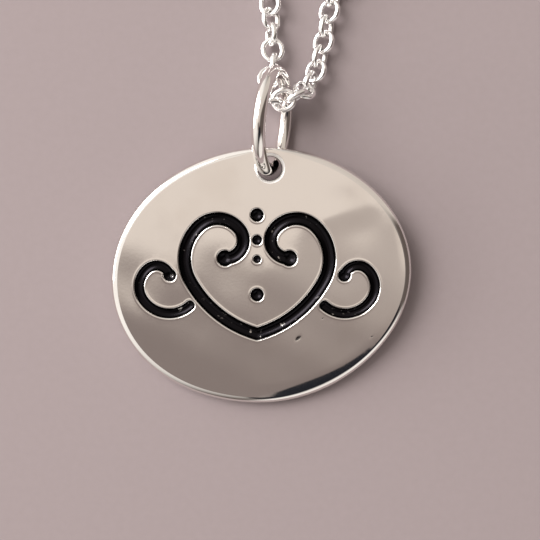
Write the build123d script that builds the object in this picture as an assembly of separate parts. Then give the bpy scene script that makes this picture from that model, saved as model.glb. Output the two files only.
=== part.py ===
from build123d import *

import math
import os

# Round silver pendant on a rolo chain, lying on a table, in millimetres.
# The disc's outline centre is at x = y = 0 while the pieces are made, +Y points
# along the table to the bail and the neck, +Z is up and z = 0 is the table.
# The whole necklace is moved to the middle of its own box at the end.

# Disc: a hand-cut oval plate, r(angle) = mean radius + a few harmonics.
DISC_THICKNESS = 1.25
DISC_MEAN_RADIUS = 10.12
# order, cosine share, sine share
OUTLINE_HARMONICS = (
    (1, -0.09, 0.10),
    (2, 0.77, 0.19),
    (4, 0.06, 0.04),
    (5, 0.03, 0.01),
)
OUTLINE_POINTS = 36
EDGE_ROUNDING = 0.5
HOLE_CENTRE = (0.58, 8.0)
HOLE_RADIUS = 0.85
HOLE_ROUNDING = 0.3
# The bail holds the hole end of the disc up, the far edge rests on the table.
DISC_TILT = 7.0

# Scroll ornament: strokes of a round-nosed graver, each made of tangent arcs.
ORNAMENT_CENTRE = (-0.35, 0.55)
MAJOR_NOSE = 0.47
MAJOR_DEPTH = 0.38
MINOR_NOSE = 0.37
MINOR_DEPTH = 0.30
# start x, start y, heading, (radius, turn) of each arc, nose radius, depth, ball end
STROKES = (
    (0.0, -4.6, 16, ((8.0, 46), (3.3, 75), (2.0, 95), (1.3, 130)), MAJOR_NOSE, MAJOR_DEPTH, 0.62),
    (4.9, -2.5, -42, ((2.25, 100), (1.7, 85), (1.0, 110)), MINOR_NOSE, MINOR_DEPTH, 0.50),
)
# x, y, radius of the punched dots on the centre line
DOTS = ((0.0, 4.1, 0.50), (0.0, 2.3, 0.38), (0.0, 0.9, 0.30), (0.0, -1.7, 0.50))

# Bail: a large round ring of plain wire, standing on its edge through the hole.
BAIL_RADIUS = 3.45
BAIL_WIRE = 0.48
BAIL_HEADING = 7.5
BAIL_LEAN = 15.0
BAIL_SHIFT_IN_HOLE = 0.08

# Chain links: nearly round ovals of round wire.
LINK_LENGTH = 1.88
LINK_WIDTH = 1.72
WIRE_ACROSS = 0.28
WIRE_DEEP = 0.34
PITCH = 1.14
# The chain is slack where it folds over the bail.
FOLD_PITCH = 1.05
FOLD_FIRST_LINK = 12
FOLD_LAST_LINK = 18
FIRST_ROLL = 145.0
# link number, degrees that it turns past a quarter from the link before
TWISTS = (
    (0, 10.0),
    (7, 22.0),
    (10, -2.0),
    (11, -5.0),
    (12, -15.0),
    (13, -17.0),
    (14, 0.0),
    (15, -13.0),
    (16, -11.0),
    (17, -30.0),
    (18, -8.0),
    (19, 0.0),
)
ROUTE_STEPS = 400

# Front stretch of the chain, from the left strand round the bail to the right.
FRONT_ROUTE = (
    (-0.05, 27.62, 0.87),
    (0.25, 25.0, 0.87),
    (0.50, 21.5, 0.87),
    (0.68, 19.0, 0.87),
    (0.64, 17.16, 0.92),
    (0.75, 16.33, 1.02),
    (1.19, 15.89, 0.87),
    (-0.10, 13.51, 1.68),
    (0.91, 12.52, 2.73),
    (2.80, 12.99, 2.75),
    (3.51, 14.32, 0.94),
    (3.65, 14.05, 1.06),
    (4.65, 17.60, 0.80),
    (4.75, 18.8, 0.88),
    (5.50, 21.8, 0.87),
    (6.30, 25.0, 0.87),
    (7.10, 28.4, 0.87),
)

# Rest of the loop, laid flat: the chain's outer envelope as a round bar.
BAR_RADIUS = 0.70
BAR_HEIGHT = 0.70
END_GAP = 0.10
# x, y of the left strand from the front stretch to the clasp
LEFT_ROUTE = ((-2.6, 52.0), (-9.5, 82.0), (-20.5, 113.0), (-29.0, 147.0), (-24.0, 180.0), (-4.0, 202.0))
# x, y of the right strand from the front stretch to the clasp
RIGHT_ROUTE = ((14.6, 52.0), (27.5, 82.0), (44.5, 112.0), (58.5, 143.0), (61.0, 176.0), (46.0, 200.0))

# Clasp: a plain spring ring with its end loop, and a jump ring through it.
CLASP_START = (16.0, 208.0)
CLASP_RADIUS = 2.3
CLASP_WIRE = 0.45
LOOP_RADIUS = 0.8
LOOP_WIRE = 0.25
KNOB_RADIUS = 0.62
JUMP_RADIUS = 1.6
JUMP_WIRE = 0.35
JUMP_LEAN = 45.0
JUMP_SLACK = 0.45
STRAND_GAP = 0.3


def outline_radius(angle):
    """Radius of the disc's edge at an angle in radians from +X."""
    return DISC_MEAN_RADIUS + sum(
        share_cos * math.cos(order * angle) + share_sin * math.sin(order * angle)
        for order, share_cos, share_sin in OUTLINE_HARMONICS
    )


def disc_blank():
    """The oval plate with rounded edges, its back on z = 0."""
    points = []
    for step in range(OUTLINE_POINTS):
        angle = 2 * math.pi * step / OUTLINE_POINTS
        radius = outline_radius(angle)
        points.append((radius * math.cos(angle), radius * math.sin(angle)))
    edge = Spline(*points, periodic=True)
    plate = extrude(make_face(Wire([edge])), DISC_THICKNESS)
    rims = plate.edges().filter_by(GeomType.BSPLINE)
    return fillet(rims, EDGE_ROUNDING)


def hole_cutter():
    """A bore through the plate that opens in a rounded lip on both faces."""
    straight = DISC_THICKNESS / 2 - HOLE_ROUNDING
    lip = HOLE_RADIUS + HOLE_ROUNDING
    with BuildSketch(Plane.XZ) as half:
        with BuildLine():
            Polyline((0, -1), (lip, -1), (lip, -DISC_THICKNESS / 2))
            RadiusArc((lip, -DISC_THICKNESS / 2), (HOLE_RADIUS, -straight), HOLE_ROUNDING)
            Line((HOLE_RADIUS, -straight), (HOLE_RADIUS, straight))
            RadiusArc((HOLE_RADIUS, straight), (lip, DISC_THICKNESS / 2), HOLE_ROUNDING)
            Polyline((lip, DISC_THICKNESS / 2), (lip, 1), (0, 1), (0, -1))
        make_face()
    bore = revolve(half.sketch, Axis.Z)
    return Pos(HOLE_CENTRE[0], HOLE_CENTRE[1], DISC_THICKNESS / 2) * bore


def stroke_cutter(start, heading, arcs, nose, depth, ball):
    """A graver stroke: a round bar along tangent arcs, with a ball at its far end."""
    height = DISC_THICKNESS - depth + nose
    point = Vector(*start, height)
    direction = Vector(math.cos(math.radians(heading)), math.sin(math.radians(heading)), 0)
    edges = []
    for radius, turn in arcs:
        arc = JernArc(point, direction, radius, turn)
        edges.append(arc)
        point = arc @ 1
        direction = arc % 1
    path = Wire(edges)
    section = Plane(path @ 0, z_dir=path % 0) * Circle(nose)
    start_ball = Pos(*(path @ 0)) * Sphere(nose * 1.02)
    end_ball = Pos(point.X, point.Y, DISC_THICKNESS - depth * 1.15 + ball) * Sphere(ball)
    return [sweep(section, path=path), start_ball, end_ball]


def ornament_cutters():
    """Both halves of the scroll and the dots between them."""
    place = Pos(*ORNAMENT_CENTRE, 0)
    cutters = []
    for x, y, heading, arcs, nose, depth, ball in STROKES:
        for piece in stroke_cutter((x, y), heading, arcs, nose, depth, ball):
            cutters.append(place * piece)
            cutters.append(place * mirror(piece, Plane.YZ))
    for x, y, radius in DOTS:
        cutters.append(place * Pos(x, y, DISC_THICKNESS + radius * 0.25) * Sphere(radius))
    return cutters


def tilted_disc():
    """The disc as it lies, and the middle of its hole."""
    disc = disc_blank() - hole_cutter()
    for cutter in ornament_cutters():
        disc = disc - cutter
    disc = Rot(DISC_TILT, 0, 0) * disc
    lift = -disc.bounding_box().min.Z
    hole = Rot(DISC_TILT, 0, 0) * Pos(*HOLE_CENTRE, DISC_THICKNESS / 2)
    return Pos(0, 0, lift) * disc, hole.position + Vector(0, 0, lift)


def standing_bail(hole):
    """The bail through the hole's middle, its lowest point on the table."""
    heading = math.radians(BAIL_HEADING)
    lean = math.radians(BAIL_LEAN)
    along = Vector(math.sin(heading), math.cos(heading), 0)
    sideways = Vector(-math.cos(heading), math.sin(heading), 0)
    rising = sideways * math.sin(lean) + Vector(0, 0, math.cos(lean))
    height = BAIL_RADIUS * math.cos(lean) + BAIL_WIRE
    drop = (hole.Z - height) / (BAIL_RADIUS * math.cos(lean))
    reach = -math.sqrt(1 - drop * drop)
    centre = hole + Vector(BAIL_SHIFT_IN_HOLE, 0, 0) - (along * reach + rising * drop) * BAIL_RADIUS
    print("bail centre", centre, "standing height", height)
    return Plane(centre, x_dir=along, z_dir=along.cross(rising)) * Torus(BAIL_RADIUS, BAIL_WIRE)


def smooth_route(corners):
    """Points along the smooth line that rounds each corner between the runs' middles."""
    corners = [Vector(*corner) for corner in corners]
    middles = [(a + b) * 0.5 for a, b in zip(corners, corners[1:])]
    middles = [corners[0], *middles, corners[-1]]
    points = []
    for before, corner, after in zip(middles, corners, middles[1:]):
        for step in range(ROUTE_STEPS):
            t = step / ROUTE_STEPS
            points.append(before * (1 - t) ** 2 + corner * (2 * t * (1 - t)) + after * t**2)
    return points


def chain_joints():
    """Where each front link hangs in the next, one pitch apart along the route."""
    joints = [Vector(*FRONT_ROUTE[0])]
    for point in smooth_route(FRONT_ROUTE):
        in_fold = FOLD_FIRST_LINK <= len(joints) - 1 <= FOLD_LAST_LINK
        if (point - joints[-1]).length >= (FOLD_PITCH if in_fold else PITCH):
            joints.append(point)
    return joints


def link_solid():
    """One link in the XY plane, longer along X."""
    arc_radius = (LINK_WIDTH - WIRE_ACROSS) / 2
    straight = LINK_LENGTH - LINK_WIDTH
    path = SlotCenterToCenter(straight, 2 * arc_radius).face().outer_wire()
    section = Plane(path @ 0, x_dir=(0, 0, 1), z_dir=path % 0) * Ellipse(WIRE_DEEP / 2, WIRE_ACROSS / 2)
    return sweep(section, path=path)


def twist_of(number):
    """Degrees that a link turns past a quarter from the one before it."""
    return [twist for first, twist in TWISTS if first <= number][-1]


def chain_links(joints):
    """Interlocked links between the joints, each turned about a quarter from the last."""
    link = link_solid()
    links = []
    side = None
    for number, (start, end) in enumerate(zip(joints, joints[1:])):
        axis = (end - start).normalized()
        if side is None:
            level = Vector(0, 0, 1).cross(axis).normalized()
            side = level.rotate(Axis((0, 0, 0), axis), FIRST_ROLL)
        else:
            side = (side - axis * side.dot(axis)).normalized()
            side = side.rotate(Axis((0, 0, 0), axis), 90 + twist_of(number))
        place = Plane((start + end) * 0.5, x_dir=axis, z_dir=axis.cross(side))
        links.append(place * link)
    return links


def flat_bar(name, points):
    """A round bar along straight runs joined by the largest tangent arcs that fit."""
    points = [Vector(*point) for point in points]
    radii = []
    for before, corner, after in zip(points, points[1:], points[2:]):
        turn = math.radians((corner - before).get_angle(after - corner))
        shorter = min((corner - before).length, (after - corner).length)
        radii.append(0.45 * shorter / math.tan(turn / 2))
    path = FilletPolyline(*points, radius=radii)
    bar = sweep(Plane(path @ 0, z_dir=path % 0) * Circle(BAR_RADIUS), path=path)
    expected = math.pi * BAR_RADIUS**2 * path.length
    print(name, "radii", [round(radius, 1) for radius in radii])
    print(name, "length", round(path.length, 1), "volume share", round(bar.volume / expected, 4))
    return bar, path.length


def clasp_pieces():
    """Spring ring with its end loop, raised by the jump ring that passes through it."""
    jump_height = JUMP_RADIUS * math.sin(math.radians(JUMP_LEAN)) + JUMP_WIRE
    loop_reach = CLASP_RADIUS + LOOP_RADIUS
    back_reach = loop_reach + LOOP_RADIUS + LOOP_WIRE
    tilt = math.asin((jump_height - LOOP_WIRE) / (back_reach + CLASP_RADIUS))
    clasp_height = jump_height - CLASP_RADIUS * math.sin(tilt)
    centre = Vector(CLASP_START[0] + END_GAP + back_reach, CLASP_START[1], clasp_height)
    clasp = Torus(CLASP_RADIUS, CLASP_WIRE) + Pos(-loop_reach, 0, 0) * Torus(LOOP_RADIUS, LOOP_WIRE)
    clasp = clasp + Pos(0, CLASP_RADIUS + CLASP_WIRE, 0) * Sphere(KNOB_RADIUS)
    clasp = Pos(*centre) * Rot(0, -math.degrees(tilt), 0) * clasp
    jump_x = centre.X + CLASP_RADIUS * math.cos(tilt) + JUMP_SLACK
    jump = Pos(jump_x, CLASP_START[1], jump_height) * Rot(JUMP_LEAN, 0, 0) * Torus(JUMP_RADIUS, JUMP_WIRE)
    end_x = jump_x + JUMP_RADIUS + JUMP_WIRE + STRAND_GAP
    return clasp, jump, end_x


def build_necklace():
    """All pieces by node name, around the disc's own centre."""
    disc, hole = tilted_disc()
    bail = standing_bail(hole)
    joints = chain_joints()
    links = chain_links(joints)
    overhang = LINK_LENGTH / 2 - PITCH / 2 + END_GAP
    clasp, jump, clasp_end = clasp_pieces()
    left_start = joints[0] - (joints[1] - joints[0]).normalized() * overhang
    right_start = joints[-1] + (joints[-1] - joints[-2]).normalized() * overhang
    left = [(left_start.X, left_start.Y, BAR_HEIGHT)]
    left += [(x, y, BAR_HEIGHT) for x, y in LEFT_ROUTE]
    left.append((CLASP_START[0], CLASP_START[1], BAR_HEIGHT))
    right = [(right_start.X, right_start.Y, BAR_HEIGHT)]
    right += [(x, y, BAR_HEIGHT) for x, y in RIGHT_ROUTE]
    right.append((clasp_end, CLASP_START[1], BAR_HEIGHT))
    left_bar, left_length = flat_bar("left strand", left)
    right_bar, right_length = flat_bar("right strand", right)

    front_length = sum((b - a).length for a, b in zip(joints, joints[1:]))
    whole = left_length + right_length + front_length + clasp_end - CLASP_START[0]
    print("front links", len(links), "necklace length", round(whole, 1))
    return {
        "pendant_disc": disc,
        "bail_ring": bail,
        "chain_front": Compound(links),
        "chain_back": Compound([left_bar, right_bar]),
        "spring_clasp": clasp,
        "clasp_ring": jump,
    }


def main():
    """Centre the necklace over its own box and write each piece."""
    pieces = build_necklace()
    box = Compound([piece for piece in pieces.values()]).bounding_box()
    move = Pos(-(box.min.X + box.max.X) / 2, -(box.min.Y + box.max.Y) / 2, -box.min.Z)
    print("moved by", move.position, "box", box.size)
    os.makedirs("parts", exist_ok=True)
    for name, piece in pieces.items():
        export_step(move * piece, f"parts/{name}.step")


main()
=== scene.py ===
"""Engraved silver disc pendant on a fine chain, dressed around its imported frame."""

import logging
import math
from dataclasses import dataclass, field, replace
from enum import Enum
from typing import Any, Iterable, Sequence

import bmesh
import bpy
import numpy as np
from mathutils import Matrix, Vector, geometry

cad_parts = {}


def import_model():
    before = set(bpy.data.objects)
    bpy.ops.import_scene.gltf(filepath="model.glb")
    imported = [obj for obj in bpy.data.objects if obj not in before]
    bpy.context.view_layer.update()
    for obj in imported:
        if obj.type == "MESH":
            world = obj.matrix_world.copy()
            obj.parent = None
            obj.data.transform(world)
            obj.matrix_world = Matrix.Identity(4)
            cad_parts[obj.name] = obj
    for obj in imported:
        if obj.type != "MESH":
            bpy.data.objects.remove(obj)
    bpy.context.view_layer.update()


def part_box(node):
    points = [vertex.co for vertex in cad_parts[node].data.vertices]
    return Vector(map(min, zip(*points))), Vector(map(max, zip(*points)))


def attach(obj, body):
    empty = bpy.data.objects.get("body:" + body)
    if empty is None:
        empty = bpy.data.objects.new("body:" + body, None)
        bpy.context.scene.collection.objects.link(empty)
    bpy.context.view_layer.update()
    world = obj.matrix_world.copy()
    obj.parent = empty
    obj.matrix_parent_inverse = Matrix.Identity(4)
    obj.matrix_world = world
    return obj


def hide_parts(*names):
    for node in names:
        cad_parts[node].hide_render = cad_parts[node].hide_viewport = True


log = logging.getLogger("pendant")

MM = 0.001
TURN = 2 * math.pi
BODY = "root"
BAIL_FROM_DISC = (0.780065, 11.1179)
STEEP_SHARE = 0.93
LEAST_REACH = 0.02
DOME_STEPS = ((0.3, 0.93), (0.12, 0.75))

Point2 = tuple[float, float]
Point3 = tuple[float, float, float]
Colour = tuple[float, float, float]
Array = np.ndarray
Object = bpy.types.Object


class Slot(Enum):
    """The record's material slots."""

    DISC = "disc_silver"
    BAIL = "bail_silver"
    CHAIN = "chain_silver"
    CLASP = "clasp_silver"


# Shader arithmetic.


class Value:
    """A shader socket that takes part in Python arithmetic."""

    def __init__(self, shader: "Shader", socket: bpy.types.NodeSocket) -> None:
        """Wraps an output socket of a shader."""
        self.shader = shader
        self.socket = socket

    def _math(self, operation: str, first: Any, second: Any) -> "Value":
        """The result of a Math node."""
        return self.shader.node("Math", {"operation": operation}, {0: first, 1: second})

    def __add__(self, other: Any) -> "Value":
        """self + other."""
        return self._math("ADD", self, other)

    __radd__ = __add__

    def __rsub__(self, other: Any) -> "Value":
        """other - self."""
        return self._math("SUBTRACT", other, self)

    def __mul__(self, other: Any) -> "Value":
        """self * other."""
        return self._math("MULTIPLY", self, other)

    __rmul__ = __mul__

    def ramp(self, low: float, high: float) -> "Value":
        """A smooth step that leaves 0 at low and reaches 1 at high."""
        sockets = {0: self, 1: low, 2: high, 3: 0.0, 4: 1.0}
        return self.shader.node("MapRange", {"interpolation_type": "SMOOTHSTEP"}, sockets)


class Shader:
    """A node tree with one method that adds nodes."""

    def __init__(self, tree: bpy.types.NodeTree) -> None:
        """Wraps the node tree to fill."""
        self.tree = tree

    def node(
        self,
        kind: str,
        settings: dict[str, Any] | None = None,
        sockets: dict[int | str, Any] | None = None,
        output: int | str = 0,
    ) -> Value:
        """Adds a node, sets it up and links it.

        Args:
            kind: The node's type without its ShaderNode prefix.
            settings: Attributes that are set before the sockets.
            sockets: Values or Value links by input name or number.
            output: The output to return.

        Returns:
            The asked output.
        """
        made = self.tree.nodes.new("ShaderNode" + kind)
        for name, value in (settings or {}).items():
            setattr(made, name, value)
        for name, value in (sockets or {}).items():
            self.feed(made.inputs[name], value)
        return Value(self, made.outputs[output])

    def feed(self, socket: bpy.types.NodeSocket, value: Any) -> None:
        """Links or sets an input.

        Args:
            socket: The input.
            value: A Value to link, or a number or tuple to set.
        """
        if isinstance(value, Value):
            self.tree.links.new(value.socket, socket)
        elif isinstance(value, tuple) and socket.type == "RGBA":
            socket.default_value = (*value, 1.0)
        else:
            socket.default_value = value

    def blend(self, factor: Any, first: Any, second: Any) -> Value:
        """The first colour where the factor is 0, the second where it is 1."""
        sockets = {0: factor, 6: first, 7: second}
        return self.node("Mix", {"data_type": "RGBA"}, sockets, 2)

    def noise(self, scale: float, detail: float = 2.0) -> Value:
        """A noise from 0 to 1 on object coordinates, its scale in cells per metre."""
        where = self.node("TexCoord", output="Object")
        return self.node("TexNoise", {}, {"Vector": where, "Scale": scale, "Detail": detail})


# Finishes.


@dataclass(frozen=True)
class Silver:
    """Sterling silver, worn smooth, with faint tarnish and a fine grain."""

    name: str
    tint: Colour = (0.93, 0.905, 0.875)
    tarnish: Colour = (0.74, 0.68, 0.62)
    tarnish_share: float = 0.25
    tarnish_scale: float = 260.0
    gloss: float = 0.08
    gloss_spread: float = 0.08
    gloss_scale: float = 900.0
    grain_depth: float = 0.4e-6
    grain_scale: float = 5200.0
    blackened: bool = False
    # Near black for the grooves' patina, also used as painted shade in the hole's bore and beside
    # the strokes.
    blacking_and_shade: Colour = (0.012, 0.011, 0.013)
    soot_rough: float = 0.16
    worn: Colour = (0.985, 0.975, 0.965)
    worn_rough: float = 0.34
    rub_scale: float = 2600.0
    rub_patches: float = 420.0

    def material(self) -> bpy.types.Material:
        """Builds the material.

        Returns:
            A metal whose colour, roughness and bump vary over the surface.
        """
        made = bpy.data.materials.new(self.name)
        made.use_nodes = True
        shader = Shader(made.node_tree)
        metal = made.node_tree.nodes["Principled BSDF"]
        metal.inputs["Metallic"].default_value = 1.0
        cloud = shader.noise(self.tarnish_scale, 3.0)
        film = cloud.ramp(0.42, 0.8) * self.tarnish_share
        colour = shader.blend(film, self.tint, self.tarnish)
        haze = self.gloss_spread * shader.noise(self.gloss_scale, 4.0)
        rough = self.gloss + haze + 0.1 * film
        relief = shader.noise(self.grain_scale) * self.grain_depth
        if self.blackened:
            # The mask holds the grooves' real blackening, plus painted shade in the hole's bore
            # and in a band beside the strokes, and the dark nicks; all are painted near black.
            mask = shader.node("Attribute", {"attribute_name": "patina_and_shade"}, output="Fac")
            rubbed = shader.noise(self.rub_scale, 3.0).ramp(0.62, 0.7) * 0.55
            mask = mask * (1.0 - rubbed * shader.noise(self.rub_patches).ramp(0.5, 0.62))
            colour = shader.blend(mask, colour, self.blacking_and_shade)
            wear = shader.node("Attribute", {"attribute_name": "wear"}, output="Fac")
            colour = shader.blend(wear, colour, self.worn)
            rough = rough + self.soot_rough * mask + self.worn_rough * wear
        shader.feed(metal.inputs["Base Color"], colour)
        shader.feed(metal.inputs["Roughness"], rough)
        bump = shader.node("Bump", {}, {"Height": relief, "Distance": 1.0, "Strength": 1.0})
        shader.feed(metal.inputs["Normal"], bump)
        return made


# Mesh helpers.


def clear_selection() -> None:
    """Deselects every object."""
    bpy.ops.object.select_all(action="DESELECT")


def select_only(made: Object) -> None:
    """Makes an object the active and only selected one."""
    clear_selection()
    made.select_set(True)
    bpy.context.view_layer.objects.active = made


def linked(name: str, data: bpy.types.ID) -> Object:
    """A new object of the data, linked to the scene."""
    made = bpy.data.objects.new(name, data)
    bpy.context.scene.collection.objects.link(made)
    return made


def mesh_object(name: str, points: Array, faces: Sequence[Sequence[int]]) -> Object:
    """Makes an object of points in metres.

    Args:
        name: The object's name.
        points: One row per vertex.
        faces: Vertex numbers of each face.

    Returns:
        The new object, active and selected alone.
    """
    mesh = bpy.data.meshes.new(name)
    mesh.from_pydata(points.tolist(), [], faces)
    mesh.update()
    made = linked(name, mesh)
    select_only(made)
    return made


def finish_piece(
    made: Object, finish: Silver, slot: Slot, *nodes: str, crease: float = 50.0
) -> None:
    """Smooths, dresses and hands a piece to the frame.

    Args:
        made: The piece, at the origin and unturned.
        finish: Its finish.
        slot: The record's slot of that finish; not used.
        nodes: CAD nodes that it stands for.
        crease: Degrees above which an edge stays sharp.
    """
    select_only(made)
    bpy.ops.object.transform_apply(location=True, rotation=True, scale=True)
    bpy.ops.object.shade_smooth_by_angle(angle=math.radians(crease))
    made.data.materials.clear()
    made.data.materials.append(finish.material())
    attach(made, BODY)
    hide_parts(*nodes)
    log.info("%s: %d faces for %s", made.name, len(made.data.polygons), ", ".join(nodes))


def ring_strip(first: int, second: int, count: int) -> list[tuple[int, int, int, int]]:
    """Quads between two closed rings of vertices.

    Args:
        first: Number of the first ring's first vertex.
        second: Number of the second ring's first vertex.
        count: Vertices in each ring.

    Returns:
        The quads.
    """
    strip = []
    for here in range(count):
        after = (here + 1) % count
        strip.append((first + here, first + after, second + after, second + here))
    return strip


# The engraved disc.


@dataclass(frozen=True)
class Pit:
    """A round-bottomed hollow along one arc, or at one point where the radius is 0."""

    centre: Point2
    radius: float
    start: float
    sweep: float
    nose: float
    depth: float

    def distance(self, x: Array, y: Array) -> Array:
        """Distance from the arc.

        Args:
            x: Places across, in millimetres.
            y: Places along, in millimetres.

        Returns:
            The distance of each place.
        """
        across, along = x - self.centre[0], y - self.centre[1]
        if self.radius == 0.0:
            return np.hypot(across, along)
        turned = np.mod(np.arctan2(along, across) - self.start, TURN)
        inside = turned <= self.sweep
        ends = []
        for angle in (self.start, self.start + self.sweep):
            off_x = across - self.radius * math.cos(angle)
            off_y = along - self.radius * math.sin(angle)
            ends.append(np.hypot(off_x, off_y))
        on_arc = np.abs(np.hypot(across, along) - self.radius)
        return np.where(inside, on_arc, np.minimum(*ends))

    @property
    def half_width(self) -> float:
        """Half the width where the wall meets the face."""
        steep = STEEP_SHARE * self.nose
        wall = math.sqrt(self.nose**2 - steep**2) - (self.nose - self.depth)
        return steep + wall * math.sqrt(1 - STEEP_SHARE**2) / STEEP_SHARE

    def hollow(self, x: Array, y: Array, softness: float) -> Array:
        """Depth below the face, with a rounded rim.

        Args:
            x: Places across.
            y: Places along.
            softness: Rounding of the rim.

        Returns:
            The depth of each place.
        """
        off = self.distance(x, y)
        steep = STEEP_SHARE * self.nose
        bowl = np.sqrt(np.maximum(self.nose**2 - np.minimum(off, steep) ** 2, 0.0))
        bowl = bowl - (self.nose - self.depth)
        slope = STEEP_SHARE / math.sqrt(1 - STEEP_SHARE**2)
        bowl = bowl - np.maximum(off - steep, 0.0) * slope
        return 0.5 * (bowl + np.sqrt(bowl**2 + softness**2))

    def _around(self, reach: float, angle: float) -> Point2:
        """The place at a distance and an angle from the centre."""
        x, y = self.centre
        return (x + reach * math.cos(angle), y + reach * math.sin(angle))

    def rows(self, offsets: Iterable[float], step: float) -> list[Point2]:
        """Places in lines along the arc or in rings round the point.

        Args:
            offsets: Distances from the arc.
            step: Spacing along the lines.

        Returns:
            The places.
        """
        places = []
        for offset in offsets:
            if self.radius == 0.0:
                count = max(8, round(TURN * offset / step)) if offset else 1
                places += [self._around(offset, TURN * n / count) for n in range(count)]
                continue
            count = max(2, round(self.radius * self.sweep / step))
            for side in {offset, -offset}:
                reach = self.radius + side
                angles = [self.start + self.sweep * n / count for n in range(count + 1)]
                if reach > LEAST_REACH:
                    places += [self._around(reach, angle) for angle in angles]
        return places


class Cloud:
    """Places that keep a least distance from each other."""

    def __init__(self, cell: float) -> None:
        """Starts without places.

        Args:
            cell: Size of the search grid, not under the least distance asked later.
        """
        self.cell = cell
        self.places: list[Point2] = []
        self._grid: dict[tuple[int, int], list[Point2]] = {}

    def add(self, place: Point2, least: float) -> None:
        """Keeps a place unless another one is too near.

        Args:
            place: The new place.
            least: Least distance from the kept ones.
        """
        key = (math.floor(place[0] / self.cell), math.floor(place[1] / self.cell))
        for i in (-1, 0, 1):
            for j in (-1, 0, 1):
                for other in self._grid.get((key[0] + i, key[1] + j), ()):
                    if math.hypot(place[0] - other[0], place[1] - other[1]) < least:
                        return
        self._grid.setdefault(key, []).append(place)
        self.places.append(place)


def ball(x: float, y: float, nose: float, depth: float) -> Pit:
    """A round pit at one point."""
    return Pit((x, y), 0.0, 0.0, 0.0, nose, depth)


@dataclass(frozen=True)
class RimDip:
    """A stretch of the plate's edge that sags."""

    angle: float
    spread: float
    depth: float
    reach: float

    def sag(self, angle: Array, rim_gap: Array) -> Array:
        """The sag at each place, by its direction from the middle and its rim distance."""
        share = np.clip((self.reach - rim_gap) / self.reach, 0.0, 1.2) ** 2
        return self.depth * share * np.exp(-(((angle - self.angle) / self.spread) ** 2))


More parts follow.
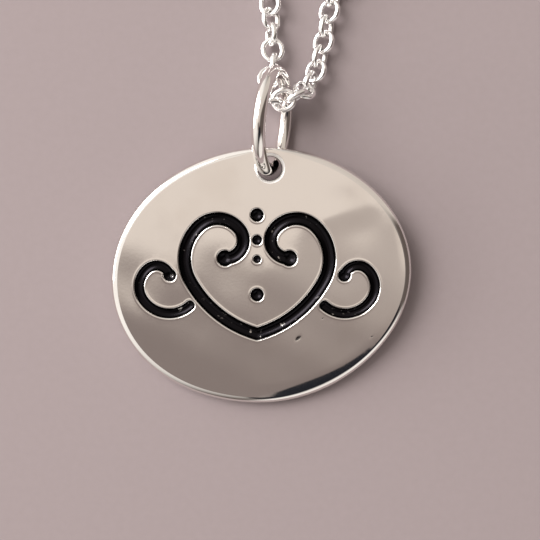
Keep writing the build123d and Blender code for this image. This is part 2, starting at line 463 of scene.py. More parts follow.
@dataclass
class Disc:
    """The hand-cut plate with its scroll ornament, in millimetres round its own centre."""

    shift: Vector
    thickness: float = 1.25
    mean_radius: float = 10.105
    harmonics: tuple[tuple[int, float, float], ...] = (
        (1, -0.09, 0.10), (2, 0.77, 0.19), (4, 0.06, 0.04), (5, 0.03, 0.01),
    )
    rim: float = 0.5
    hole: Point2 = (0.58, 8.0)
    hole_radius: float = 0.85
    lip: float = 0.27
    rim_thinning: float = 0.55
    tilt: float = 7.0
    outline_count: int = 360
    hole_count: int = 64
    profile_steps: int = 9
    ornament: Point2 = (-0.35, 0.55)
    # Start, heading, arcs as radius and turn, half width, depth and ball end's radius.
    strokes: tuple[tuple, ...] = (
        ((0.0, -4.6), 16.0, ((8.0, 46), (3.3, 75), (2.0, 95), (1.3, 130)), 0.47, 0.38, 0.62),
        ((4.9, -2.5), -42.0, ((2.25, 100), (1.7, 85), (1.0, 110)), 0.37, 0.30, 0.50),
    )
    # Dots and nicks have a place and a radius.
    dots: tuple[Point3, ...] = (
        (0.0, 4.1, 0.50), (0.0, 2.3, 0.38), (0.0, 0.9, 0.30), (0.0, -1.7, 0.50),
    )
    nicks: tuple[Point3, ...] = (
        (2.99, -4.90, 0.16), (4.78, -3.44, 0.06), (7.58, -3.05, 0.05), (8.38, -4.79, 0.06),
    )
    nick_depth: float = 0.14
    dips: tuple[RimDip, ...] = (RimDip(-1.02, 0.62, 0.22, 1.5), RimDip(0.42, 0.42, 0.055, 1.3))
    softness: float = 0.05
    grid: float = 0.24
    grid_least: float = 0.13
    row_step: float = 0.065
    row_least: float = 0.024
    bowl_rows: tuple[float, ...] = (0.0, 0.25, 0.48, 0.66, 0.79, 0.88, 0.95)
    bank_rows: tuple[float, ...] = (0.0, 0.028, 0.056, 0.09, 0.14, 0.22)
    nick_rows: tuple[float, ...] = (0.0, 0.25, 0.5, 0.8, 1.2, 1.8)
    back_grid: float = 1.1
    back_reach: float = 8.3
    back_hole_reach: float = 1.6
    burr_height: float = 0.010
    burr_off: float = 0.07
    burr_spread: float = 0.05
    pits: list[Pit] = field(default_factory=list)

    def __post_init__(self) -> None:
        """Lays out the strokes, their ball ends and the dots."""
        for start, heading, arcs, nose, depth, end in self.strokes:
            x, y = start
            angle = math.radians(heading)
            for radius, turn in arcs:
                centre = (x - radius * math.sin(angle), y + radius * math.cos(angle))
                sweep = math.radians(turn)
                self.pits.append(Pit(centre, radius, angle - math.pi / 2, sweep, nose, depth))
                angle += sweep
                x = centre[0] + radius * math.sin(angle)
                y = centre[1] - radius * math.cos(angle)
            self.pits += [ball(x, y, end, depth * 1.15), ball(*start, nose, depth)]
        self.pits += [ball(x, y, radius, radius * 0.75) for x, y, radius in self.dots]

    def edge_radius(self, angle: float) -> float:
        """Radius of the outline at an angle from +X."""
        waves = (c * math.cos(n * angle) + s * math.sin(n * angle) for n, c, s in self.harmonics)
        return self.mean_radius + sum(waves)

    def edge_place(self, angle: float) -> Array:
        """The outline's place at an angle from +X."""
        return np.array([math.cos(angle), math.sin(angle)]) * self.edge_radius(angle)

    def off_hole(self, x: Any, y: Any) -> Any:
        """Distance of a place, or of each place, from the hole's middle."""
        return np.hypot(x - self.hole[0], y - self.hole[1])

    def edge_rings(self, insets: Sequence[float]) -> list[list[Point2]]:
        """Copies of the outline moved inwards.

        Args:
            insets: How far each copy is moved.

        Returns:
            One list of places per inset.
        """
        rings: list[list[Point2]] = [[] for _ in insets]
        for count in range(self.outline_count):
            angle = TURN * count / self.outline_count
            here = self.edge_place(angle)
            after = self.edge_place(angle + 1e-4)
            tangent = (after - here) / np.linalg.norm(after - here)
            inward = np.array([-tangent[1], tangent[0]])
            from_hole = angle - math.atan2(self.hole[1], self.hole[0])
            thinner = 1.0 - self.rim_thinning * math.exp(-((from_hole / 0.2) ** 2))
            for ring, inset in zip(rings, insets):
                ring.append(tuple(here + inward * inset * thinner))
        return rings

    def engraving(self, x: Array, y: Array) -> tuple[Array, Array, Array]:
        """The ornament and the nicks, as each place of the face has them.

        Args:
            x: Places across.
            y: Places along.

        Returns:
            The depth, the distance from the nearest stroke's edge, negative inside it, and
            the nicks' share, which is a nick's radius at its middle.
        """
        across, along = x - self.ornament[0], y - self.ornament[1]
        depth, nicked, nearest = np.zeros_like(x), np.zeros_like(x), np.full_like(x, 99.0)
        for pit in self.pits:
            for side in (across, -across):
                depth = np.maximum(depth, pit.hollow(side, along, self.softness))
                nearest = np.minimum(nearest, pit.distance(side, along) - pit.half_width)
        for nick_x, nick_y, radius in self.nicks:
            forth = (across - nick_x) * 0.78 + (along - nick_y) * 0.62
            aside = (along - nick_y) * 0.78 - (across - nick_x) * 0.62
            oval = (forth / radius) ** 2 + (aside / radius * 2.0) ** 2
            nicked = np.maximum(nicked, radius * np.exp(-oval))
        return np.maximum(depth, self.nick_depth * nicked), nearest, nicked

    def wave(self, x: Array, y: Array) -> Array:
        """Gentle unevenness of the hand-flattened face.

        Args:
            x: Places across.
            y: Places along.

        Returns:
            Height above the flat face.
        """
        swell = 0.016 * np.sin(0.42 * x + 0.25 * y + 0.6) * np.cos(0.37 * y - 0.18 * x)
        ripple = 0.006 * np.sin(0.95 * x - 0.7 * y + 1.1) + 0.004 * np.sin(1.3 * y + 0.8 * x)
        beyond = -(x + 10.05) * 0.755 - (y + 3.15) * 0.656
        height = swell + ripple - 0.035 * 0.5 * (beyond + np.sqrt(beyond**2 + 0.09))
        angle = np.arctan2(y, x)
        _, oval_cos, oval_sin = self.harmonics[1]
        oval = self.mean_radius + oval_cos * np.cos(2 * angle) + oval_sin * np.sin(2 * angle)
        for dip in self.dips:
            height = height - dip.sag(angle, oval - np.hypot(x, y))
        north = 0.977 * (y - 4.13) - 0.210 * (x - 3.13)
        crest = 0.022 * np.exp(-((north / 0.9) ** 2)) * np.exp(-(((x - 5.4) / 2.7) ** 4))
        return height + crest

    def top_places(self, inner_ring: list[Point2], hole_ring: list[Point2]) -> list[Point2]:
        """Places of the face: the two rings first, then dense rows along the strokes.

        Args:
            inner_ring: Where the rim's rounding starts.
            hole_ring: Where the hole's lip starts.

        Returns:
            All places.
        """
        cloud = Cloud(0.25)
        for place in (*inner_ring, *hole_ring):
            cloud.add(place, 0.0)
        right, up = self.ornament
        for pit in self.pits:
            wide = pit.half_width
            offsets = [wide * share for share in self.bowl_rows]
            offsets += [wide + beyond for beyond in self.bank_rows]
            for x, y in pit.rows(offsets, self.row_step):
                for side in (x, -x):
                    cloud.add((side + right, y + up), self.row_least)
        for x, y, radius in self.nicks:
            offsets = [radius * share for share in self.nick_rows]
            for across, along in ball(x, y, radius, radius).rows(offsets, radius * 0.35):
                cloud.add((across + right, along + up), radius * 0.18)
        reach = math.ceil((self.mean_radius + 1.2) / self.grid)
        clear = self.hole_radius + self.lip + 0.1
        for i in range(-reach, reach + 1):
            for j in range(-reach, reach + 1):
                spot = ((i + 0.5 * (j % 2)) * self.grid, j * self.grid)
                radius = self.edge_radius(math.atan2(spot[1], spot[0])) - self.rim - 0.12
                if math.hypot(*spot) < radius and self.off_hole(*spot) > clear:
                    cloud.add(spot, self.grid_least)
        return cloud.places

    def sheet(self, places: list[Point2], rings: Sequence[range]) -> list[list[int]]:
        """Triangles over the places, with the hole left open.

        Args:
            places: The outline ring, the hole ring and the places between them.
            rings: Numbers of the outline ring's and the hole ring's places.

        Returns:
            The triangles.
        """
        edges = []
        for ring in rings:
            edges += [(n, ring.start + (n - ring.start + 1) % len(ring)) for n in ring]
        found = geometry.delaunay_2d_cdt([Vector(p) for p in places], edges, [], 0, 1e-7)
        if len(found[0]) != len(places):
            raise RuntimeError(f"the face's {len(places)} places became {len(found[0])}")
        source = [origins[0] for origins in found[3]]
        open_ring = set(rings[1])
        triangles = [[source[corner] for corner in face] for face in found[2]]
        return [face for face in triangles if not open_ring.issuperset(face)]

    def build(self) -> Object:
        """Makes the closed, tilted disc.

        Returns:
            The disc with its attribute for blackening and painted shade.
        """
        turns = [math.pi / 2 * step / self.profile_steps for step in range(self.profile_steps + 1)]
        insets = [self.rim * (1 - math.sin(turn)) for turn in turns]
        drops = [self.rim * (1 - math.cos(turn)) for turn in turns]
        rings = self.edge_rings(insets)
        angles = [TURN * n / self.hole_count for n in range(self.hole_count)]

        def bore(radius: float) -> list[Point2]:
            """A ring round the hole's middle."""
            x, y = self.hole
            return [(x + radius * math.cos(a), y + radius * math.sin(a)) for a in angles]

        lips = [self.hole_radius + self.lip * (1 - math.sin(turn)) for turn in turns]
        lip_drops = [self.lip * (1 - math.cos(turn)) for turn in turns]
        n, m = self.outline_count, self.hole_count
        face = self.top_places(rings[0], bore(lips[0]))
        triangles = self.sheet(face, (range(n), range(n, n + m)))
        points = [(x, y, self.thickness) for x, y in face]
        faces: list[Sequence[int]] = list(triangles)
        walls = (
            (0, n, list(zip(rings, drops))),
            (n, m, [(bore(lip), drop) for lip, drop in zip(lips, lip_drops)]),
        )
        ends = []
        for first, count, upper in walls:
            lower = [(ring, self.thickness - drop) for ring, drop in reversed(upper)]
            for ring, drop in upper[1:] + lower:
                points += [(x, y, self.thickness - drop) for x, y in ring]
                faces += ring_strip(first, len(points) - count, count)
                first = len(points) - count
            ends.append(first)
        back = Cloud(1.4)
        for place in (*rings[0], *bore(lips[0])):
            back.add(place, 0.0)
        reach = math.ceil(self.back_reach / self.back_grid)
        for i in range(-reach, reach + 1):
            for j in range(-reach, reach + 1):
                spot = (i * self.back_grid, j * self.back_grid)
                inside = math.hypot(*spot) < self.back_reach
                if inside and self.off_hole(*spot) > self.back_hole_reach:
                    back.add(spot, 0.4)
        numbers = [*range(ends[0], ends[0] + n), *range(ends[1], ends[1] + m)]
        numbers += range(len(points), len(points) + len(back.places) - n - m)
        points += [(x, y, 0.0) for x, y in back.places[n + m :]]
        under = self.sheet(back.places, (range(n), range(n, n + m)))
        faces += [[numbers[corner] for corner in reversed(face)] for face in under]
        return self.engrave(np.array(points), faces)

    def engrave(self, points: Array, faces: list[Sequence[int]]) -> Object:
        """Cuts the ornament into the face, then tilts and places the disc.

        Args:
            points: The plate's points, its back on z = 0.
            faces: The plate's faces.

        Returns:
            The disc, with one attribute for its grooves' blackening and painted shade, and one for
            wear.
        """
        x, y, height = points.T
        on_face = height > self.thickness - 1e-6
        depth, near, nicked = self.engraving(x, y)
        cut = np.where(on_face, depth, 0.0)
        burr = self.burr_height * np.exp(-(((near - self.burr_off) / self.burr_spread) ** 2))
        raised = height + self.wave(x, y) * np.clip(height / self.thickness, 0, 1) - cut
        raised = raised + np.where(on_face, burr, 0.0)
        tilt = math.radians(self.tilt)
        along = y * math.cos(tilt) - raised * math.sin(tilt)
        upward = y * math.sin(tilt) + raised * math.cos(tilt)
        placed = np.stack([x, along, upward], 1)
        placed[:, 2] -= placed[:, 2].min()
        placed += np.array(self.shift)
        made = mesh_object("disc_engraved", placed * MM, faces)
        patina_and_shade = np.clip((cut - 0.045) / 0.06, 0.0, 1.0)
        patina_and_shade = patina_and_shade * patina_and_shade * (3 - 2 * patina_and_shade)
        # Painted shade: a faint dark band just outside each stroke's edge.
        stroke_edge_shade = 0.16 * np.exp(-np.maximum(near, 0.0) / 0.07) * on_face
        off_hole = self.off_hole(x, y)
        # Painted shade: the hole's bore is painted nearly black below its lip.
        in_bore = off_hole < self.hole_radius + 0.06
        blacking_and_shade = 0.96 * in_bore * np.clip((self.thickness - height - 0.17) / 0.07, 0.0, 1.0)
        # The nicks are painted dark towards their middles.
        nick_darkening = np.clip(nicked * 40.0 - 0.4, 0.0, 0.9) * on_face
        # Real patina in the grooves, with the painted shade and the dark nicks added.
        patina_and_shade = np.maximum(np.maximum(patina_and_shade, blacking_and_shade), nick_darkening)
        on_lip = off_hole - self.hole_radius < self.lip * 0.95
        wear = on_lip & (height > self.thickness - 0.16)
        for name, share in (("patina_and_shade", np.maximum(patina_and_shade, stroke_edge_shade)), ("wear", wear)):
            layer = made.data.attributes.new(name, "FLOAT", "POINT")
            layer.data.foreach_set("value", share.astype(np.float32))
        return made


# Rings of bent wire.


@dataclass(frozen=True)
class WireRing:
    """A ring bent from round wire, its two ends butted together."""

    radius: float
    wire: float
    centre: Vector
    along: Vector
    normal: Vector
    joint_angle: float
    joint_gap: float = 0.02
    steps: int = 180
    sides: int = 40

    def build(self, name: str) -> Object:
        """Spins the wire's section round and domes both ends.

        Args:
            name: The piece's name.

        Returns:
            The ring.
        """
        radial = Matrix.Rotation(math.radians(self.joint_angle), 3, self.normal) @ self.along
        tangent = self.normal.cross(radial)
        middle = self.centre + radial * self.radius
        turned = Matrix((radial, self.normal, -tangent)).transposed().to_euler()
        clear_selection()
        bpy.ops.mesh.primitive_circle_add(
            vertices=self.sides, radius=self.wire * MM, location=middle * MM, rotation=turned
        )
        made = bpy.context.object
        made.name = made.data.name = name
        bpy.ops.object.transform_apply(location=True, rotation=True, scale=True)
        bpy.ops.object.mode_set(mode="EDIT")
        bpy.ops.mesh.select_all(action="SELECT")
        whole = TURN - self.joint_gap / self.radius
        bpy.ops.mesh.spin(steps=self.steps, angle=whole, center=self.centre * MM, axis=self.normal)
        end = Matrix.Rotation(whole, 3, self.normal)
        self._dome(self.centre + end @ (radial * self.radius), end @ tangent)
        self._dome(middle, -tangent)
        bpy.ops.mesh.select_all(action="SELECT")
        bpy.ops.mesh.normals_make_consistent(inside=False)
        bpy.ops.object.mode_set(mode="OBJECT")
        return made

    def _dome(self, middle: Vector, outward: Vector) -> None:
        """Closes one end of the wire with a shallow dome.

        Args:
            middle: The end's middle.
            outward: Direction out of the wire.
        """
        shape = bmesh.from_edit_mesh(bpy.context.edit_object.data)
        bpy.ops.mesh.select_all(action="DESELECT")
        reach = self.wire * 1.05 * MM
        for vertex in shape.verts:
            off = vertex.co - middle * MM
            if abs(off.dot(outward)) < 1e-7 and off.length < reach:
                vertex.select = True
        shape.select_flush(True)
        bmesh.update_edit_mesh(bpy.context.edit_object.data)
        for push, size in DOME_STEPS:
            move = {"value": outward * self.joint_gap * push * MM}
            bpy.ops.mesh.extrude_region_move(TRANSFORM_OT_translate=move)
            bpy.ops.transform.resize(value=(size,) * 3, center_override=middle * MM)
        bpy.ops.mesh.edge_face_add()


# The chain.


@dataclass(frozen=True)
class LinkShape:
    """One link: an oval of wire with a soft-cornered section."""

    length: float = 1.92
    width: float = 1.76
    across: float = 0.38
    deep: float = 0.43
    squareness: float = 2.5

    def template(self, steps: int, sides: int) -> tuple[Array, list[Sequence[int]]]:
        """Models the link from a torus, in millimetres, longer along X.

        Args:
            steps: Sections round the link, a multiple of 4.
            sides: Points in each section.

        Returns:
            The points and the faces.
        """
        bend = (self.width - self.across) / 2
        clear_selection()
        half_step = (0.0, 0.0, math.pi / steps)
        bpy.ops.mesh.primitive_torus_add(
            major_segments=steps, minor_segments=sides, major_radius=bend, minor_radius=0.1,
            rotation=half_step,
        )
        made = bpy.context.object
        bpy.ops.object.transform_apply(location=True, rotation=True, scale=True)
        points = np.array([v.co for v in made.data.vertices])
        faces = [tuple(face.vertices) for face in made.data.polygons]
        bpy.data.meshes.remove(made.data)
        flat = np.hypot(points[:, 0], points[:, 1])
        angle = np.arctan2(points[:, 2], flat - bend)
        power = 2.0 / self.squareness
        out = np.sign(np.cos(angle)) * np.abs(np.cos(angle)) ** power * self.across / 2
        up = np.sign(np.sin(angle)) * np.abs(np.sin(angle)) ** power * self.deep / 2
        points[:, :2] *= ((bend + out) / flat)[:, None]
        points[:, 2] = up
        points[:, 0] += np.sign(points[:, 0]) * (self.length - self.width) / 2
        return points, faces


@dataclass
class Chain:
    """The whole chain, walked link by link along its route, in the disc's millimetres."""

    shift: Vector
    left_end: Point3
    right_end: Point3
    front: tuple[Point3, ...] = (
        (-0.05, 27.62, 0.87), (0.25, 25.0, 0.87), (0.50, 21.5, 0.87),
        (0.68, 19.0, 0.87), (0.64, 17.16, 0.92), (0.75, 16.33, 1.02),
        (1.19, 15.89, 0.87), (-0.10, 13.51, 1.68), (0.91, 12.52, 2.73),
        (2.80, 12.99, 2.75), (3.51, 14.32, 0.94), (3.65, 14.05, 1.06),
        (4.65, 17.60, 0.80), (4.75, 18.8, 0.88), (5.50, 21.8, 0.87),
        (6.30, 25.0, 0.87), (7.10, 28.4, 0.87),
    )
    left: tuple[Point2, ...] = (
        (-2.6, 52.0), (-9.5, 82.0), (-20.5, 113.0), (-29.0, 147.0), (-24.0, 180.0), (-4.0, 202.0),
    )
    right: tuple[Point2, ...] = (
        (14.6, 52.0), (27.5, 82.0), (44.5, 112.0), (58.5, 143.0), (61.0, 176.0), (46.0, 200.0),
    )
    lying: float = 0.70
    pitch: float = 1.14
    fold_pitch: float = 1.05
    fold: range = range(12, 19)
    front_links: int = 30
    first_roll: float = 145.0
    settling: float = 6.0
    # The first link of each stretch and its turn past a quarter, in degrees.
    twists: tuple[tuple[int, float], ...] = (
        (0, 10.0), (7, 22.0), (10, -2.0), (11, -5.0), (12, -15.0), (13, -17.0),
        (14, 0.0), (15, -13.0), (16, -11.0), (17, -30.0), (18, -8.0), (19, 0.0),
    )
    sample: float = 0.01

    def route(self) -> Array:
        """The smooth line of the chain from the clasp's loop round to its jump ring.

        Returns:
            Points every hundredth of a millimetre.
        """
        corners = [self.left_end]
        corners += [(x, y, self.lying) for x, y in reversed(self.left)]
        corners += [*self.front, *[(x, y, self.lying) for x, y in self.right]]
        corners += [self.right_end]
        curve = bpy.data.curves.new("chain_route", "CURVE")
        curve.dimensions = "3D"
        spline = curve.splines.new("NURBS")
        spline.points.add(len(corners) - 1)
        for point, corner in zip(spline.points, corners):
            point.co = (*corner, 1.0)
        spline.order_u = 3
        spline.use_endpoint_u = True
        spline.resolution_u = 60
        guide = linked("chain_route", curve)
        bpy.context.view_layer.update()
        evaluated = guide.evaluated_get(bpy.context.evaluated_depsgraph_get())
        traced = bpy.data.meshes.new_from_object(evaluated)
        line = np.array([v.co for v in traced.vertices])
        bpy.data.meshes.remove(traced)
        bpy.data.curves.remove(curve)
        steps = np.linalg.norm(np.diff(line, axis=0), axis=1)
        gone = np.concatenate([[0.0], np.cumsum(steps)])
        marks = np.arange(0.0, gone[-1], self.sample)
        return np.stack([np.interp(marks, gone, line[:, axis]) for axis in range(3)], 1)

    def joints(self, line: Array) -> tuple[list[Array], int]:
        """Where each link hangs in the next.

        Args:
            line: The route.

        Returns:
            The joints from the clasp's loop to its jump ring, and the front's first number.
        """
        start = int(np.argmin(np.linalg.norm(line - np.array(self.front[0]), axis=1)))
        walked = [line[start]]
        here = start
        while len(walked) <= self.front_links:
            here += 1
            step = self.fold_pitch if len(walked) - 1 in self.fold else self.pitch
            if np.linalg.norm(line[here] - walked[-1]) >= step:
                walked.append(line[here])
        left_count = round(start * self.sample / self.pitch)
        left = [line[round(start * n / left_count)] for n in range(left_count)]
        rest = len(line) - 1 - here
        right_count = round(rest * self.sample / self.pitch)
        right = [line[here + round(rest * n / right_count)] for n in range(1, right_count + 1)]
        return left + walked + right, left_count

    def frames(self, joints: list[Array], first: int) -> list[Array]:
        """The direction, side and normal of every link.

        Args:
            joints: All joints.
            first: Number of the front's first link.

        Returns:
            One matrix per link, its columns being the link's axes.
        """
        axes = [(b - a) / np.linalg.norm(b - a) for a, b in zip(joints, joints[1:])]
        sides: list[Array | None] = [None] * len(axes)
        level = np.cross((0.0, 0.0, 1.0), axes[first])
        sides[first] = self._rolled(level / np.linalg.norm(level), axes[first], self.first_roll)
        for here in range(first + 1, len(axes)):
            extra = self.twist_of(here - first) if here < first + self.front_links else None
            sides[here] = self._next_side(sides[here - 1], axes[here], 1, extra)
        for here in range(first - 1, -1, -1):
            sides[here] = self._next_side(sides[here + 1], axes[here], -1, None)
        return [np.stack([axis, side, np.cross(axis, side)], 1) for axis, side in zip(axes, sides)]

    def twist_of(self, number: int) -> float:
        """Degrees that a front link turns past a quarter from the one before it."""
        return [twist for first, twist in self.twists if first <= number][-1]

    @staticmethod
    def _rolled(side: Array, axis: Array, degrees: float) -> Array:
        """A side vector turned about the link's axis."""
        angle = math.radians(degrees)
        return side * math.cos(angle) + np.cross(axis, side) * math.sin(angle)

    def _next_side(
        self, side: Array, axis: Array, way: int, extra: float | None
    ) -> Array:
        """Turns a quarter from the last link, and where the chain lies, towards 45 degrees.

        Args:
            side: The last link's side.
            axis: This link's direction.
            way: 1 forwards along the route, -1 backwards.
            extra: Twist added to the quarter, or None to settle towards 45 degrees.

        Returns:
            This link's side.
        """
        side = side - axis * side.dot(axis)
        side = self._rolled(side / np.linalg.norm(side), axis, 90.0 * way)
        if extra is None:
            level = np.cross((0.0, 0.0, 1.0), axis)
            upward = np.cross(axis, level)
            roll = math.degrees(math.atan2(side.dot(upward), side.dot(level)))
            extra = max(-self.settling, min(self.settling, 45.0 - roll % 90.0))
            return self._rolled(side, axis, extra)
        return self._rolled(side, axis, extra * way)

    def build(self) -> tuple[Object, Object]:
        """Makes the links.

        Returns:
            The front stretch and the rest.
        """
        joints, first = self.joints(self.route())
        frames = self.frames(joints, first)
        shape = LinkShape()
        near = range(first, first + self.front_links)
        far = [n for n in range(len(frames)) if n not in near]
        made = []
        for name, numbers, template in (
            ("chain_front_links", near, shape.template(44, 16)),
            ("chain_back_links", far, shape.template(12, 6)),
        ):
            points, faces = template
            rows, quads = [], []
            for number in numbers:
                middle = (joints[number] + joints[number + 1]) / 2
                placed = points @ frames[number].T + middle
                placed[:, 2] += max(0.0, 0.003 - placed[:, 2].min())
                offset = len(rows) * len(points)
                rows.append(placed + np.array(self.shift))
                quads += [tuple(corner + offset for corner in face) for face in faces]
            made.append(mesh_object(name, np.concatenate(rows) * MM, quads))
        return made[0], made[1]


# The clasp.


@dataclass
class Clasp:
    """The spring ring, its end loop and the jump ring, in the disc's millimetres."""

    shift: Vector
    start: Point2 = (16.0, 208.0)
    radius: float = 2.3
    wire: float = 0.45
    loop_radius: float = 0.8
    loop_wire: float = 0.25
    knob: float = 0.61
    jump_radius: float = 1.6
    jump_wire: float = 0.35
    jump_lean: float = 45.0
    jump_slack: float = 0.45
    end_gap: float = 0.10
    loop_lift: float = 0.34

    def __post_init__(self) -> None:
        """Works out the resting place as the frame has it."""
        lean = math.radians(self.jump_lean)
        self.jump_height = self.jump_radius * math.sin(lean) + self.jump_wire
        self.loop_reach = self.radius + self.loop_radius
        back_reach = self.loop_reach + self.loop_radius + self.loop_wire
        self.tilt = math.asin((self.jump_height - self.loop_wire) / (back_reach + self.radius))
        height = self.jump_height - self.radius * math.sin(self.tilt)
        self.centre = Vector((self.start[0] + self.end_gap + back_reach, self.start[1], height))
        jump_x = self.centre.x + self.radius * math.cos(self.tilt) + self.jump_slack
        self.jump = Vector((jump_x, self.start[1], self.jump_height))
        along = Vector((math.cos(self.tilt), 0.0, math.sin(self.tilt)))
        self.loop = self.centre - along * self.loop_reach
        self.loop.z += self.loop_lift

    @property
    def left_end(self) -> Point3:
        """Where the last link of the left strand holds the end loop."""
        return (self.loop.x - 0.58, self.loop.y, self.loop.z + 0.05)

    @property
    def right_end(self) -> Point3:
        """Where the last link of the right strand holds the jump ring."""
        return (self.jump.x + self.jump_radius - 0.32, self.jump.y, self.jump_height - 0.05)

    def build(self) -> list[Object]:
        """Makes the clasp's pieces.

        Returns:
            The spring ring with its loop and knob, then the jump ring.
        """
        along = Vector((math.cos(self.tilt), 0.0, math.sin(self.tilt)))
        upward = Vector((-math.sin(self.tilt), 0.0, math.cos(self.tilt)))
        centre = self.centre + self.shift
        body = WireRing(self.radius, self.wire, centre, along, upward, 55.0, 0.06, 96, 24)
        bolt = replace(body, wire=self.wire * 0.99, joint_angle=100.0, joint_gap=0.05)
        middle = self.loop + self.shift
        loop = WireRing(
            self.loop_radius, self.loop_wire, middle, along, upward, 0.0, 0.02, 48, 14
        )
        lean = math.radians(self.jump_lean)
        normal = Vector((0.0, -math.sin(lean), math.cos(lean)))
        level = Vector((1.0, 0.0, 0.0))
        middle = self.jump + self.shift
        jump = WireRing(
            self.jump_radius, self.jump_wire, middle, level, normal, 200.0, 0.02, 72, 20
        )
        rings = [
            body.build("spring_ring"),
            bolt.build("spring_ring_bolt"),
            loop.build("end_loop"),
        ]
        clear_selection()
        place = (centre + Vector((0.0, self.radius + self.wire, 0.0))) * MM
        bpy.ops.mesh.primitive_uv_sphere_add(
            segments=24, ring_count=14, radius=self.knob * MM, location=place
        )
        knob = bpy.context.object
        knob.name = knob.data.name = "clasp_knob"
        return [*rings, knob, jump.build("clasp_jump_ring")]


# The bail.


@dataclass
class Bail:
    """The large ring that carries the disc, standing on edge through its hole."""

    centre: Vector
    radius: float = 3.45
    wire: float = 0.478
    heading: float = 7.5
    lean: float = 15.0
    joint_angle: float = -62.0

    def build(self) -> Object:
        """Makes the ring.

        Returns:
            The ring.
        """
        heading, lean = math.radians(self.heading), math.radians(self.lean)
        along = Vector((math.sin(heading), math.cos(heading), 0.0))
        sideways = Vector((-math.cos(heading), math.sin(heading), 0.0))
        rising = sideways * math.sin(lean) + Vector((0.0, 0.0, math.cos(lean)))
        normal = along.cross(rising)
        ring = WireRing(self.radius, self.wire, self.centre, along, normal, self.joint_angle)
        return replace(ring, steps=240, sides=56).build("bail_wire_ring")


# The studio.


@dataclass(frozen=True)
class Tones:
    """Colours of the surroundings that the silver mirrors."""

    dim: Colour = (0.12, 0.095, 0.085)
    lit: Colour = (1.05, 1.0, 0.95)
    face_low: Colour = (0.245, 0.20, 0.185)
    face_middle: Colour = (0.50, 0.43, 0.39)
    face_bright: Colour = (0.78, 0.69, 0.62)
    face_edge: Colour = (0.72, 0.63, 0.56)
    glow: Colour = (0.70, 0.63, 0.57)
    gloom: Colour = (0.010, 0.012, 0.018)
    sill: Colour = (0.95, 0.90, 0.86)


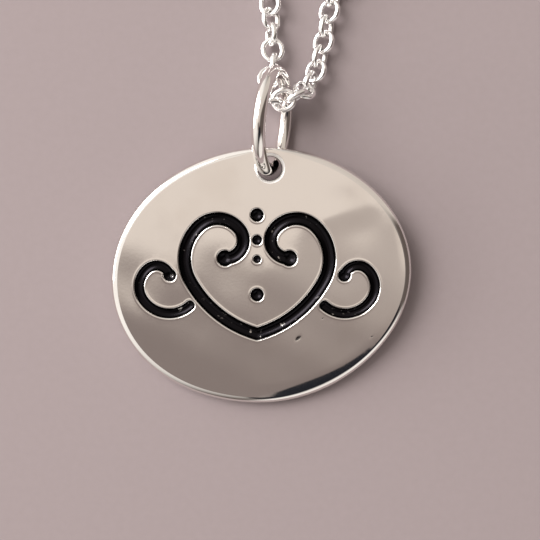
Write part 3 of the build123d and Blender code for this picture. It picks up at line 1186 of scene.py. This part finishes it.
@dataclass
class Studio:
    """Camera, floor and soft light, placed from the disc's centre."""

    shift: Vector
    tones: Tones = Tones()
    camera_place: Point3 = (0.587, 0.513, 75.0)
    camera_angle: float = 30.15
    floor_colour: Colour = (0.305, 0.256, 0.262)

    def camera(self) -> None:
        """Makes the photograph's camera, which looks straight down."""
        data = bpy.data.cameras.new("camera")
        data.sensor_fit = "HORIZONTAL"
        data.angle = math.radians(self.camera_angle)
        data.clip_start = 0.001
        made = linked("camera", data)
        made.location = (Vector(self.camera_place) + self.shift) * MM
        bpy.context.scene.camera = made

    def floor(self) -> None:
        """Makes the plain pale floor."""
        clear_selection()
        bpy.ops.mesh.primitive_plane_add(size=3.0, location=(0.0, 0.0, -0.00001))
        made = bpy.context.object
        made.name = "floor"
        material = bpy.data.materials.new("floor_paper")
        material.use_nodes = True
        shader = Shader(material.node_tree)
        paper = material.node_tree.nodes["Principled BSDF"]
        paper.inputs["Roughness"].default_value = 0.9
        paper.inputs["Specular IOR Level"].default_value = 0.2
        darker = tuple(channel * 0.93 for channel in self.floor_colour)
        mottled = shader.blend(shader.noise(1800.0, 3.0), self.floor_colour, darker)
        shader.feed(paper.inputs["Base Color"], mottled)
        made.data.materials.append(material)

    def panel(
        self, name: str, place: Point3, size: Point2, power: float, colour: Colour
    ) -> None:
        """Hangs a soft light that faces the disc.

        Args:
            name: The light's name.
            place: Its place in metres from the disc's centre.
            size: Its width and height in metres.
            power: Its power in watts.
            colour: Its colour.
        """
        data = bpy.data.lights.new(name, "AREA")
        data.shape = "RECTANGLE"
        data.size, data.size_y = size
        data.energy = power
        data.color = colour
        made = linked(name, data)
        made.location = Vector(place) + self.shift * MM
        made.rotation_euler = Vector(place).to_track_quat("Z", "Y").to_euler()

    def room(self) -> None:
        """Makes the soft surroundings: light to the upper left, dark to the lower right."""
        world = bpy.data.worlds.new("room")
        world.use_nodes = True
        bpy.context.scene.world = world
        shader = Shader(world.node_tree)
        where = shader.node("TexCoord", output="Generated")

        def towards(x: float, y: float, z: float) -> Value:
            """How far a direction of the room points along a given one."""
            aim = tuple(Vector((x, y, z)).normalized())
            dot = {"operation": "DOT_PRODUCT"}
            return shader.node("VectorMath", dot, {0: where, 1: aim}, "Value")

        tones = self.tones
        lit = towards(-0.82, 0.30, 0.45).ramp(-0.15, 0.75)
        colour = shader.blend(lit, tones.dim, tones.lit)
        level = towards(0.36, 0.933, 0.0).ramp(-0.335, -0.15)
        above = shader.blend(level, tones.face_low, tones.face_middle)
        northward = towards(0.0, 1.0, 0.0)
        bright = towards(-0.418, 0.908, 0.0).ramp(-0.220, -0.196) * northward.ramp(-0.268, -0.214)
        above = shader.blend(bright, above, tones.face_bright)
        edge = towards(1.0, 0.0, 0.0).ramp(0.165, 0.215) * northward.ramp(-0.25, -0.20)
        above = shader.blend(edge, above, tones.face_edge)
        glow = towards(1.0, 1.0, 0.0).ramp(0.0, 0.08)
        glow = glow * towards(1.0, -1.0, 0.0).ramp(-0.50, -0.30)
        glow = glow * towards(-0.7, 1.0, 0.0).ramp(-0.30, -0.14)
        colour = shader.blend(glow * 0.9, colour, tones.glow)
        face = towards(0.0, -0.25, 0.97).ramp(0.945, 0.972)
        colour = shader.blend(face, colour, above)
        gloom = towards(0.30, -0.66, 0.69).ramp(0.936, 0.944)
        colour = shader.blend(gloom * 0.97, colour, tones.gloom)
        sill = towards(0.5, -0.86, 0.10).ramp(0.80, 0.92)
        colour = shader.blend(sill, colour, tones.sill)
        shader.feed(world.node_tree.nodes["Background"].inputs["Color"], colour)

    def build(self) -> None:
        """Sets the camera, the floor and the light."""
        self.camera()
        self.floor()
        self.room()
        warm, neutral = (1.0, 0.97, 0.94), (1.0, 0.98, 0.96)
        self.panel("key_light", (-0.33, 0.20, 0.43), (0.34, 0.34), 3.4, warm)
        self.panel("window_left", (-0.56, 0.20, 0.16), (0.62, 0.26), 2.8, neutral)
        bpy.context.scene.view_settings.view_transform = "Standard"


# The whole necklace.


def main() -> None:
    """Builds every piece around the frame."""
    logging.basicConfig(level=logging.INFO)
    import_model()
    low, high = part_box("bail_ring")
    bail_centre = (low + high) / (2 * MM)
    right, up = BAIL_FROM_DISC
    shift = Vector((bail_centre.x - right, bail_centre.y - up, 0.0))
    log.info("the disc's centre is at %.4f, %.4f mm", shift.x, shift.y)
    Studio(shift).build()

    polished = Silver("polished_wire", gloss=0.05, gloss_spread=0.05)
    engraved = replace(polished, name="engraved_silver", blackened=True)
    finish_piece(Disc(shift).build(), engraved, Slot.DISC, "pendant_disc")
    finish_piece(Bail(bail_centre).build(), polished, Slot.BAIL, "bail_ring")
    clasp = Clasp(shift)
    front, back = Chain(shift, clasp.left_end, clasp.right_end).build()
    links = Silver(
        "chain_silver",
        tint=(0.965, 0.955, 0.95),
        tarnish_share=0.1,
        gloss=0.17,
        gloss_spread=0.10,
    )
    finish_piece(front, links, Slot.CHAIN, "chain_front")
    links = replace(links, name="chain_silver_back")
    finish_piece(back, links, Slot.CHAIN, "chain_back", crease=80.0)
    pieces = clasp.build()
    for piece in pieces[:-1]:
        finish_piece(piece, Silver(piece.name + "_silver"), Slot.CLASP, "spring_clasp")
    finish_piece(pieces[-1], Silver("jump_ring_silver"), Slot.CLASP, "clasp_ring")


if __name__ == "__main__":
    main()
